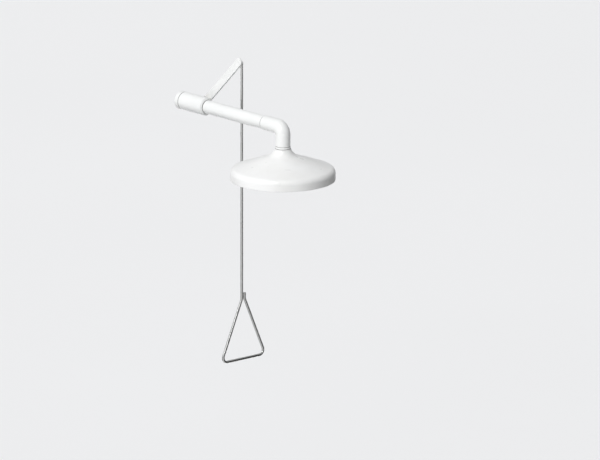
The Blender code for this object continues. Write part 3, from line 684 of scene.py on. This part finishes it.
def valve_body(finish):
    """The cylindrical body with its boss, flow way, pipe socket and stem bore."""
    outline = [
        (0.0, 12.8), (22.0, 12.8, 0.6), (22.0, 91.8, 0.6), (17.7, 94.8, 0.3), (0.0, 94.8),
    ]
    profile = rounded(in_mm(outline), 0, closed=False)
    piece = lathe("valve_casting", profile, FLOW, FINE, wrap=False)
    carve(piece, skin("tool", boss_rows(), STEM @ OFF_FACETS), "UNION")
    flow_way = [
        (0, 11), (18.9, 11), (18.9, 32.2), (16.8, 32.2), (16.8, 60.4), (10.5, 60.4), (10.5, 74.2),
        (17.0, 74.2), (17.0, 94.4), (17.5, 96.0), (0, 96.0),
    ]
    carve(piece, lathe("tool", in_mm(flow_way), FLOW, FINE, wrap=False))
    stem_way = [
        (0, 0), (8.0, 0), (8.0, 18.9), (4.8, 18.9), (4.8, 21.6), (7.0, 21.6), (7.0, 28.2),
        (7.6, 30), (0, 30),
    ]
    carve(piece, lathe("tool", in_mm(stem_way), STEM @ OFF_FACETS, MEDIUM, wrap=False))
    pin = STEM @ Matrix.Translation((0, -PIN_OFFSET, 0))
    carve(piece, rod_tool(PIN_ROOM, 22.5 * MM, 30 * MM, pin))
    dress(piece, finish, "white_enamel", "shower", "valve_body", seams=[INLET_SEAM])


def seats(finish):
    """The two seat rings, hollowed to the ball."""
    ball, front, back = 15.3 * MM, 7.6 * MM, 14.0 * MM
    mouth = math.acos(front / ball)
    throat = math.asin(PORT_R / ball)
    curve = arc((0, 0), ball, mouth, throat, math.radians(2))
    for name, node, side in (("inlet_seat", "seat_inlet", -1), ("outlet_seat", "seat_outlet", 1)):
        profile = [(16.5 * MM, side * back), (16.5 * MM, side * front)]
        profile += [(radius, side * along) for along, radius in curve]
        profile.append((PORT_R, side * back))
        place = Matrix.Translation(STEM_PLACE) @ FLOW
        dress(lathe(name, profile, place, MEDIUM), finish, "white_seal", "shower", node)


def hexagon_radius(flats, corner_share):
    """The hexagon's radius at an angle, with its corners cut back a little."""
    apothem = flats / 2
    most = corner_share * apothem / math.cos(math.radians(30))

    def radius(angle):
        return min(most, apothem / math.cos(angle % math.radians(60) - math.radians(30)))

    return radius


def hexagon_profile(flats, start, end, ends):
    """The outside of a hexagon whose corners are chamfered at the chosen ends."""
    radius = hexagon_radius(flats, 0.99)
    flat_r = 0.47 * flats
    slope = math.tan(math.radians(28))

    def low(angle):
        return start + (radius(angle) - flat_r) * slope

    def high(angle):
        return end - (radius(angle) - flat_r) * slope

    profile = [(flat_r, start), (radius, low)] if "start" in ends else [(radius, start)]
    profile += [(radius, high), (flat_r, end)] if "end" in ends else [(radius, end)]
    return profile


def gland_nut(finish):
    bore, sleeve = 4.8 * MM, 6.7 * MM
    profile = [(bore, 25.8 * MM), (sleeve, 25.8 * MM), (sleeve, 28.8 * MM)]
    profile += hexagon_profile(14.4 * MM, 28.8 * MM, 35.8 * MM, ("end",))
    profile += [(bore + 0.5 * MM, 35.8 * MM), (bore, 35.3 * MM)]
    dress(lathe("gland_hexagon", profile, STEM), finish, "brass", "shower", "gland_nut")


def stop_pin(finish):
    outline = [(0.0, 22.8), (1.5, 22.8), (1.5, 38.2, 0.6), (0.0, 38.2)]
    profile = rounded(in_mm(outline), 0, closed=False)
    place = STEM @ Matrix.Translation((0, -PIN_OFFSET, 0))
    piece = lathe("travel_pin", profile, place, SMALL, wrap=False)
    dress(piece, finish, "satin_steel", "shower", "stop_pin")


# ---- pipe, elbow and head ----

ELBOW_R = 18.0 * MM
ELBOW_START = 304.5 * MM
ELBOW_BEND = 18.6 * MM
ELBOW_STRAIGHT = 368.7 * MM - ELBOW_BEND - ELBOW_START
ELBOW_ARC = ELBOW_BEND * math.pi / 2
ELBOW_BOTTOM_Z = -46.4 * MM
ELBOW_SHOULDER_Z = -26.7 * MM
ELBOW_STEPS = 40
HEAD_R = 128.3 * MM
HEAD_WALL = 3.0 * MM
HEAD_RIM_Z = -129.9 * MM
RIM_START_Z = -126.0 * MM
RIM_ROUND = 1.2 * MM
HUB_R = 30.0 * MM
HUB_FOOT_R = 60.0 * MM
HUB_BOTTOM_Z = -78.0 * MM
FLARE_R = 33.2 * MM
FLARE_CENTRE = (51.0 * MM, -41.3 * MM)
NECK_TOP_Z = -52.6 * MM
CONE_APEX_Z = -58.3 * MM
CONE_ANGLE = math.atan(0.357)
SHOULDER_RADIUS = 15.0 * MM
NUT_BOTTOM_Z = -87.6 * MM
PLATE_TOP_Z = -103.2 * MM
SCREW_CIRCLE_R = 23.2 * MM
SCREW_COUNT = 3
SCREW_HOLE_R = 2.3 * MM
SCREW_HOLE_FACETS = 32


def drench_pipe(finish):
    seams = [between(1, -96.6 * MM, -94.6 * MM), between(1, -304.6 * MM, -302.6 * MM)]
    outline = [
        (13.3, 74.5, 0.6), (16.7, 74.5, 0.6), (16.7, 94.6), (16.7, 96.6), (16.7, 302.6),
        (16.7, 304.6), (16.7, 326.0, 0.6), (13.3, 326.0, 0.6),
    ]
    profile = rounded(in_mm(outline), 0)
    piece = lathe("supply_run", profile, FLOW, FINE)
    dress(piece, finish, "white_enamel", "shower", "drench_pipe", seams=seams)


def elbow_frame(along):
    """Place and direction on the elbow's centre line, along being the distance from its start."""
    if along <= ELBOW_STRAIGHT:
        return Vector((0, -ELBOW_START - along, 0)), Vector((0, -1, 0))
    if along <= ELBOW_STRAIGHT + ELBOW_ARC:
        angle = (along - ELBOW_STRAIGHT) / ELBOW_BEND
        out = Vector((0, -math.sin(angle), math.cos(angle)))
        centre = Vector((0, HEAD_PLACE.y + ELBOW_BEND, -ELBOW_BEND))
        return centre + ELBOW_BEND * out, Vector((0, -math.cos(angle), -math.sin(angle)))
    drop = along - ELBOW_STRAIGHT - ELBOW_ARC
    return Vector((0, HEAD_PLACE.y, -ELBOW_BEND - drop)), Vector((0, 0, -1))


def elbow(finish):
    """Rings along the outside of the elbow and back along its stepped bore."""
    length = ELBOW_STRAIGHT + ELBOW_ARC - ELBOW_BOTTOM_Z - ELBOW_BEND
    socket, bore = PIPE_R + GAP, PIPE_BORE_R
    socket_in = 326.3 * MM - ELBOW_START
    socket_out = length + ELBOW_BOTTOM_Z - ELBOW_SHOULDER_Z
    bends = [ELBOW_STRAIGHT + ELBOW_ARC * i / ELBOW_STEPS for i in range(ELBOW_STEPS + 1)]
    lip = rounded([(socket, 0), (ELBOW_R, 0), (ELBOW_R, 6 * MM)], 0.6 * MM, closed=False)
    stations = [(along, radius) for radius, along in lip]
    stations += [(along, ELBOW_R) for along in bends]
    stations += [(length - along, radius) for radius, along in reversed(lip)]
    stations += [(socket_out, socket), (socket_out, bore)]
    stations += [(along, bore) for along in reversed(bends)]
    stations += [(socket_in, bore), (socket_in, socket)]
    rows = []
    side = Vector((1, 0, 0))
    for along, radius in stations:
        middle, direction = elbow_frame(along)
        up = side.cross(direction)
        row = [
            middle + radius * (math.cos(a) * side + math.sin(a) * up)
            for a in (math.tau * i / FINE for i in range(FINE))
        ]
        rows.append(row)
    piece = skin("street_elbow", rows, wrap=True)
    seams = [between(2, ELBOW_BOTTOM_Z - MM, ELBOW_BOTTOM_Z + 0.6 * MM)]
    seams.append(between(1, -ELBOW_START - 0.6 * MM, -ELBOW_START + MM))
    dress(piece, finish, "white_enamel", "shower", "elbow", seams=seams)


def neck_collar(finish):
    outline = [
        (18.0, -46.7), (19.045, -51.2, 0), (19.3, -52.3, 0.6), (17.0, -52.3), (17.0, -46.7),
    ]
    profile = rounded(in_mm(outline), 0.35 * MM)
    piece = lathe("neck_ring", profile, HEAD, FINE)
    seams = [between(2, -47.1 * MM, -46 * MM), between(2, -53 * MM, -51.2 * MM)]
    dress(piece, finish, "white_enamel", "shower", "neck_collar", seams=seams)


def head_nipple(finish):
    outline = [(13.3, -27.0), (16.7, -27.0), (16.7, -78.0, 0)]
    profile = rounded(in_mm(outline), 0.4 * MM, closed=False)
    profile += thread(PIPE_R, PIPE_THREAD_DEPTH, PIPE_PITCH, -78.5 * MM, -90.4 * MM)
    profile += [(15.8 * MM, -91.0 * MM), (13.8 * MM, -91.0 * MM), (13.3 * MM, -90.5 * MM)]
    dress(lathe("threaded_nipple", profile, HEAD, FINE), finish, "brass", "shower", "head_nipple")


def cone_z(radius):
    return CONE_APEX_Z - radius * math.tan(CONE_ANGLE)


def shoulder(wall):
    """The rounded shoulder between cone and skirt, wall metres inside the outer skin."""
    centre_r = HEAD_R - SHOULDER_RADIUS
    centre = (centre_r, cone_z(centre_r) - SHOULDER_RADIUS / math.cos(CONE_ANGLE))
    return arc(centre, SHOULDER_RADIUS - wall, math.pi / 2 - CONE_ANGLE, 0, math.radians(3))


def shower_head(finish):
    """The bell, with its flare, cone, rounded shoulder, skirt, rim and inner hub."""
    flare_top = math.pi + math.asin((FLARE_CENTRE[1] - NECK_TOP_Z) / FLARE_R)
    flare = arc(FLARE_CENTRE, FLARE_R, flare_top, 1.5 * math.pi - CONE_ANGLE, math.radians(2))
    rim_z = HEAD_RIM_Z
    inner = HEAD_R - HEAD_WALL
    hub_top = cone_z(HUB_R) - HEAD_WALL / math.cos(CONE_ANGLE)
    rim = [(HEAD_R, RIM_START_Z), (HEAD_R, rim_z), (inner, rim_z), (inner, RIM_START_Z)]
    rim = rounded(rim, RIM_ROUND, closed=False)
    hub = [(HUB_FOOT_R, cone_z(HUB_FOOT_R) + hub_top - cone_z(HUB_R)), (HUB_R, hub_top, 2.5 * MM)]
    hub += [(HUB_R, HUB_BOTTOM_Z, 0.6 * MM), (PIPE_R + GAP, HUB_BOTTOM_Z, 0.4 * MM)]
    hub.append((PIPE_R + GAP, -60.0 * MM))
    profile = flare + shoulder(0) + rim + list(reversed(shoulder(HEAD_WALL)))
    profile += rounded(hub, 0, closed=False)
    profile.append((PIPE_R + GAP, NECK_TOP_Z))
    dress(lathe("bell", profile, HEAD, BIG), finish, "white_plastic", "shower", "shower_head")


def head_gasket(finish):
    outline = [(17.0, -78.3), (27.0, -78.3), (27.0, -80.3), (17.0, -80.3)]
    profile = rounded(in_mm(outline), 0.4 * MM)
    dress(lathe("gasket_ring", profile, HEAD), finish, "black_rubber", "shower", "head_gasket")


def screw_frames():
    for i in range(SCREW_COUNT):
        angle = math.tau * i / SCREW_COUNT + math.radians(90)
        offset = Vector((math.cos(angle), math.sin(angle), 0)) * SCREW_CIRCLE_R
        yield i + 1, Matrix.Translation(HEAD_PLACE + offset)


def head_lock_nut(finish):
    """A round lock nut with scalloped finger grips."""
    grips, depth, width = 12, 1.3 * MM, 0.62

    def scalloped(share):
        def radius(angle):
            wave = math.cos(angle * grips)
            return 29.0 * MM - share - depth * max(0, wave - 1 + width) / width
        return radius

    top = -80.6 * MM
    edge = [(0.6 * MM, 0.0), (0.18 * MM, 0.18 * MM), (0.0, 0.6 * MM)]
    profile = [(17.0 * MM, top), *((scalloped(share), top - drop) for share, drop in edge)]
    profile += [(scalloped(share), NUT_BOTTOM_Z + drop) for share, drop in reversed(edge)]
    profile += [(17.8 * MM, NUT_BOTTOM_Z), (17.0 * MM, NUT_BOTTOM_Z + 0.8 * MM)]
    piece = lathe("finger_nut", profile, HEAD, BIG)
    for _, place in screw_frames():
        hole = rod_tool(SCREW_HOLE_R, NUT_BOTTOM_Z - MM, top + MM, place, SCREW_HOLE_FACETS)
        carve(piece, hole)
    dress(piece, finish, "white_plastic", "shower", "head_lock_nut")


def regulator(nylon, rubber):
    outline = [
        (13.0, -60), (13.0, -69), (5.5, -69), (5.5, -60), (7.2, -60), (7.2, -64), (10.8, -64),
        (10.8, -60),
    ]
    profile = rounded(in_mm(outline), 0.3 * MM)
    dress(lathe("regulator_body", profile, HEAD), nylon, "white_nylon", "shower", "flow_regulator")
    section = arc((9.0 * MM, -62.2 * MM), 1.5 * MM, 0, math.tau, math.radians(15))[:-1]
    seal = lathe("regulator_seal", section, HEAD)
    dress(seal, rubber, "black_rubber", "shower", "regulator_ring")


def deflector_plate(finish):
    """A dished disc whose middle rises to a cone that splits the water."""
    outline = [
        (0.0, -94.2), (1.2, -94.6, 0.8), (14.0, -103.2, 2.5), (36.0, -103.2, 3.0),
        (42.0, -105.2, 0.8), (42.0, -107.7, 0.8), (36.0, -105.7, 3.0), (0.0, -105.7),
    ]
    profile = rounded(in_mm(outline), 0, closed=False, steps=6)
    piece = lathe("spray_deflector", profile, HEAD, FINE, wrap=False)
    for _, place in screw_frames():
        start, end = PLATE_TOP_Z - 4 * MM, PLATE_TOP_Z + MM
        carve(piece, rod_tool(SCREW_HOLE_R, start, end, place, SCREW_HOLE_FACETS))
    dress(piece, finish, "white_plastic", "shower", "deflector_plate")


def cross_tool(place, bottom):
    """A tapered cross that cuts a screw's recess from below."""
    wide, narrow, half, deep = 1.7 * MM, 0.9 * MM, 0.36 * MM, 1.5 * MM

    def outline(reach, thick, height):
        corner = [(reach, -thick), (reach, thick), (thick, thick)]
        points = []
        for quarter in range(4):
            turn = Matrix.Rotation(math.radians(90) * quarter, 2)
            points += [turn @ Vector(point) for point in corner]
        return [Vector((point.x, point.y, height)) for point in points]

    rows = [outline(wide, half, bottom - 0.3 * MM), outline(narrow, 0.6 * half, bottom + deep)]
    return skin("tool", rows, place)


def deflector_fixings(nylon, steel):
    spacer = in_mm([(2.3, -102.9), (4.2, -102.9), (4.2, -87.9), (2.3, -87.9)])
    spacer = rounded(spacer, 0.4 * MM)
    outline = [
        (0.0, -108.4), (2.4, -108.4, 0.6), (3.8, -107.4, 0.7), (3.8, -106.0, 0.15),
        (2.0, -106.0), (2.0, -81.3, 0.4), (0.0, -81.3),
    ]
    screw = rounded(in_mm(outline), 0, closed=False)
    for number, place in screw_frames():
        tube = lathe(f"stand_off_{number}", spacer, place, SMALL)
        dress(tube, nylon, "white_nylon", "shower", f"deflector_spacer_{number}")
        piece = lathe(f"pan_screw_{number}", screw, place, SMALL, wrap=False)
        carve(piece, cross_tool(place, -108.4 * MM))
        dress(piece, steel, "satin_steel", "shower", f"deflector_screw_{number}")


# ---- lever, stem and ball ----

LEVER_FACE = 38.6 * MM
LEVER_THICK = 6.35 * MM
LEVER_HALF = 9.525 * MM
STEM_FLAT = 3.2 * MM


def flatted(radius, flat):
    """The radius of a round section with two flats."""
    def section(angle):
        return min(radius, flat / max(abs(math.cos(angle)), TINY))
    return section


def stem(finish):
    """Tang, collar, shaft, two flats and the threaded end."""

    def tang(angle):
        turned = angle + LEVER_RISE
        along, across = abs(math.cos(turned)), abs(math.sin(turned))
        return min(6.0 * MM / max(along, TINY), 2.0 * MM / max(across, TINY))

    collar, shaft, flats = 7.4 * MM, STEM_R, flatted(STEM_R, STEM_FLAT)
    profile = [(0.0, 11.5 * MM), (tang, 11.5 * MM), (tang, 15.5 * MM), (collar, 15.5 * MM)]
    profile += [(collar, 17.6 * MM), (shaft, 17.6 * MM), (shaft, 36.1 * MM)]
    profile += [(flats, 36.1 * MM), (flats, 45.0 * MM), (4.0 * MM, 45.0 * MM)]
    profile += thread(4.0 * MM, STEM_THREAD_DEPTH, STEM_PITCH, 45.4 * MM, 55.2 * MM)
    profile += [(3.3 * MM, 55.9 * MM), (0.0, 55.9 * MM)]
    piece = lathe("valve_spindle", profile, LEVER, MEDIUM, wrap=False)
    dress(piece, finish, "satin_steel", "lever", "stem")


def ball(finish):
    """The ball, closed: its bore stands upright and its slot lies along the flow."""
    curve = arc((0, 0), 15.0 * MM, -math.pi / 2, math.pi / 2, math.radians(4))
    place = Matrix.Translation(STEM_PLACE)
    piece = lathe("valve_ball", [(max(r, 0.0), z) for r, z in curve], place, MEDIUM, wrap=False)
    carve(piece, rod_tool(10.0 * MM, -20 * MM, 20 * MM, place, MEDIUM))
    low, high, half = 11.2 * MM, 20 * MM, 2.3 * MM
    section = ((-high, -half), (high, -half), (high, half), (-high, half))
    slot = [[Vector((x, y, z)) for y, z in section] for x in (low, high)]
    carve(piece, skin("tool", slot, place))
    dress(piece, finish, "satin_steel", "lever", "ball")


def double_d_tool(start, end):
    section = flatted(STEM_R + GAP, STEM_FLAT + GAP)
    return lathe("tool", [(section, start), (section, end)], LEVER, MEDIUM, wrap=False)


def inset(outline, by):
    """The outline moved inward; its points run counterclockwise."""
    moved = []
    for before, here, after in zip(outline[-1:] + outline[:-1], outline, outline[1:] + outline[:1]):
        first = Vector((here[0] - before[0], here[1] - before[1])).normalized()
        last = Vector((after[0] - here[0], after[1] - here[1])).normalized()
        inward = Vector((-first.y - last.y, first.x + last.x)).normalized()
        moved.append((here[0] + by * inward.x, here[1] + by * inward.y))
    return moved


def plate(name, outline, start, end, edge, place):
    """A flat plate with rounded edges, from a counterclockwise outline."""
    steps = 3
    turns = [math.pi / 2 * i / steps for i in range(steps + 1)]
    rows = [(edge * (1 - math.sin(a)), start + edge * (1 - math.cos(a))) for a in turns]
    rows += [(edge * (1 - math.cos(a)), end - edge * (1 - math.sin(a))) for a in turns]
    rings = [[Vector((y, z, height)) for y, z in inset(outline, by)] for by, height in rows]
    return skin(name, rings, place)


def stop_washer(finish):
    """A washer with a quarter cut away, which the stop pin runs in."""
    room = math.asin(PIN_ROOM / PIN_OFFSET)
    closed = math.radians(-90) - LEVER_RISE
    start = closed + room
    end = closed - math.radians(90) - room + math.tau
    step = math.radians(3)
    outline = arc((0, 0), 10.6 * MM, start, end, step)
    outline += arc((0, 0), 8.2 * MM, end, start + math.tau, step)
    piece = plate("travel_washer", outline, 36.3 * MM, 38.3 * MM, 0.25 * MM, LEVER)
    carve(piece, double_d_tool(35 * MM, 40 * MM))
    dress(piece, finish, "satin_steel", "lever", "stop_washer")


def lever_arm(finish):
    """A flat bar with round ends and softened edges, its stem hole and its blind eye."""
    step = math.radians(4)
    outline = arc((0, LEVER_REACH), LEVER_HALF, 0, math.pi, step)
    outline += arc((0, 0), LEVER_HALF, math.pi, math.tau, step)
    piece = plate("lever_bar", outline, LEVER_FACE, LEVER_FACE + LEVER_THICK, 0.7 * MM, LEVER)
    carve(piece, double_d_tool(LEVER_FACE - MM, LEVER_FACE + LEVER_THICK + MM))
    floor_x, far = LEVER_FACE + 1.2 * MM, LEVER_FACE + LEVER_THICK
    eye = [(0, floor_x), (4.9 * MM, floor_x), (4.9 * MM, far - 0.3 * MM)]
    eye += [(5.6 * MM, far + 0.4 * MM), (0, far + 0.4 * MM)]
    carve(piece, lathe("tool", eye, EYE, MEDIUM, wrap=False))
    dress(piece, finish, "white_enamel", "lever", "lever_arm")


def lock_washer(finish):
    """A split spring washer, its ends sprung a little apart."""
    start, thick, spring = 45.25 * MM, 1.6 * MM, 0.12 * MM
    first, last, count = math.radians(9), math.radians(351), 72
    inner, outer, top = 4.3 * MM, 6.4 * MM, thick - spring
    section = [(inner, 0.0), (outer, 0.0), (outer, top), (inner, top)]
    section = rounded(section, 0.25 * MM, steps=2)
    rows = []
    for i in range(count + 1):
        angle = first + (last - first) * i / count
        lift = start + spring * i / count
        rows.append([
            Vector((radius * math.cos(angle), radius * math.sin(angle), height + lift))
            for radius, height in section
        ])
    dress(skin("spring_washer", rows, LEVER), finish, "satin_steel", "lever", "lock_washer")


def lever_nut(finish):
    start, bore, chamfer = 47.15 * MM, 4.15 * MM, 0.6 * MM
    end = start + 6.5 * MM
    profile = hexagon_profile(13.0 * MM, start, end, ("start", "end"))
    wide = bore + chamfer
    profile += [(wide, end), (bore, end - chamfer), (bore, start + chamfer), (wide, start)]
    dress(lathe("lever_hexagon", profile, LEVER), finish, "satin_steel", "lever", "lever_nut")


# ---- pull rod ----

ROD_R = 3.175 * MM
# The rod's rounded end: distances from its tip, and the share of its radius there
ROD_END = ((0.0, 0.55), (0.12 * MM, 0.82), (0.35 * MM, 0.96), (0.8 * MM, 1.0))
ROD_X = 50.1 * MM
BAR_MIDDLE_X = 54.7 * MM
BAR_WIDTH = 143.6 * MM
BAR_Z = -627.0 * MM
FORK_Z = -477.2 * MM


def rod_bush(finish):
    """A blind flanged bush in the lever's eye, open at the back for the rod's hook."""
    outline = [
        (0.0, 40.1), (4.6, 40.1, 0.4), (4.6, 45.25, 0.1), (7.2, 45.25), (7.2, 46.05),
        (3.475, 46.05, 0.4), (3.475, 40.9), (0.0, 40.9),
    ]
    profile = rounded(in_mm(outline), 0.25 * MM, closed=False)
    piece = lathe("eye_bush_flange", profile, EYE, SMALL, wrap=False)
    dress(piece, finish, "white_nylon", "lever", "rod_bush")


def pull_rod(finish):
    """One bent rod: hook, upright, triangle and stub, all in one plane through the eye."""
    stub_x = 2 * BAR_MIDDLE_X - ROD_X
    corners = [
        (41.3 * MM, EYE_PLACE.z),
        (ROD_X, EYE_PLACE.z, 5 * MM),
        (ROD_X, FORK_Z, 7 * MM),
        (BAR_MIDDLE_X - BAR_WIDTH / 2, BAR_Z, 12 * MM),
        (BAR_MIDDLE_X + BAR_WIDTH / 2, BAR_Z, 12 * MM),
        (stub_x, FORK_Z, 7 * MM),
        (stub_x, FORK_Z + 15.2 * MM),
    ]
    path = [Vector((x, EYE_PLACE.y, z)) for x, z in rounded(corners, 0, closed=False, steps=24)]
    stations = []
    for i, spot in enumerate(path):
        before, after = path[max(i - 1, 0)], path[min(i + 1, len(path) - 1)]
        stations.append((spot, (after - before).normalized(), ROD_R))
    first, last = stations[0], stations[-1]
    opened = [(first[0] + first[1] * deep, first[1], ROD_R * share) for deep, share in ROD_END]
    closed = [(last[0] - last[1] * deep, last[1], ROD_R * share) for deep, share in ROD_END]
    across = Vector((0, 1, 0))
    rows = []
    for spot, direction, radius in opened + stations[1:-1] + closed[::-1]:
        side = across.cross(direction)
        rows.append([
            spot + radius * (math.cos(a) * side + math.sin(a) * across)
            for a in (math.tau * i / ROD_FACETS for i in range(ROD_FACETS))
        ])
    dress(skin("bent_rod", rows), finish, "satin_steel", "rod", "pull_rod")


# ---- the whole ----


def main():
    camera()
    light()
    floor(floor_finish())
    enamel = enamel_finish()
    plastic = plastic_finish()
    drawn = drawn_steel_finish()
    steel = turned_metal_finish("turned_steel", *STEEL)
    brass = turned_metal_finish("turned_brass", *BRASS)
    seal = moulded_finish("seal", *SEAL)
    nylon = moulded_finish("nylon", *NYLON)
    rubber = moulded_finish("rubber", *RUBBER)

    hidden = {"body_o_ring": rubber, "stem_packing": seal, "thrust_washer": seal}
    for node, finish in hidden.items():
        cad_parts[node].data.materials.clear()
        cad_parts[node].data.materials.append(finish)

    inlet_adapter(enamel)
    valve_body(enamel)
    seats(seal)
    gland_nut(brass)
    stop_pin(steel)
    drench_pipe(enamel)
    elbow(enamel)
    neck_collar(enamel)
    head_nipple(brass)
    shower_head(plastic)
    head_gasket(rubber)
    head_lock_nut(plastic)
    regulator(nylon, rubber)
    deflector_plate(plastic)
    deflector_fixings(nylon, steel)
    stem(steel)
    ball(steel)
    stop_washer(steel)
    lever_arm(enamel)
    lock_washer(steel)
    lever_nut(steel)
    rod_bush(nylon)
    pull_rod(drawn)


main()
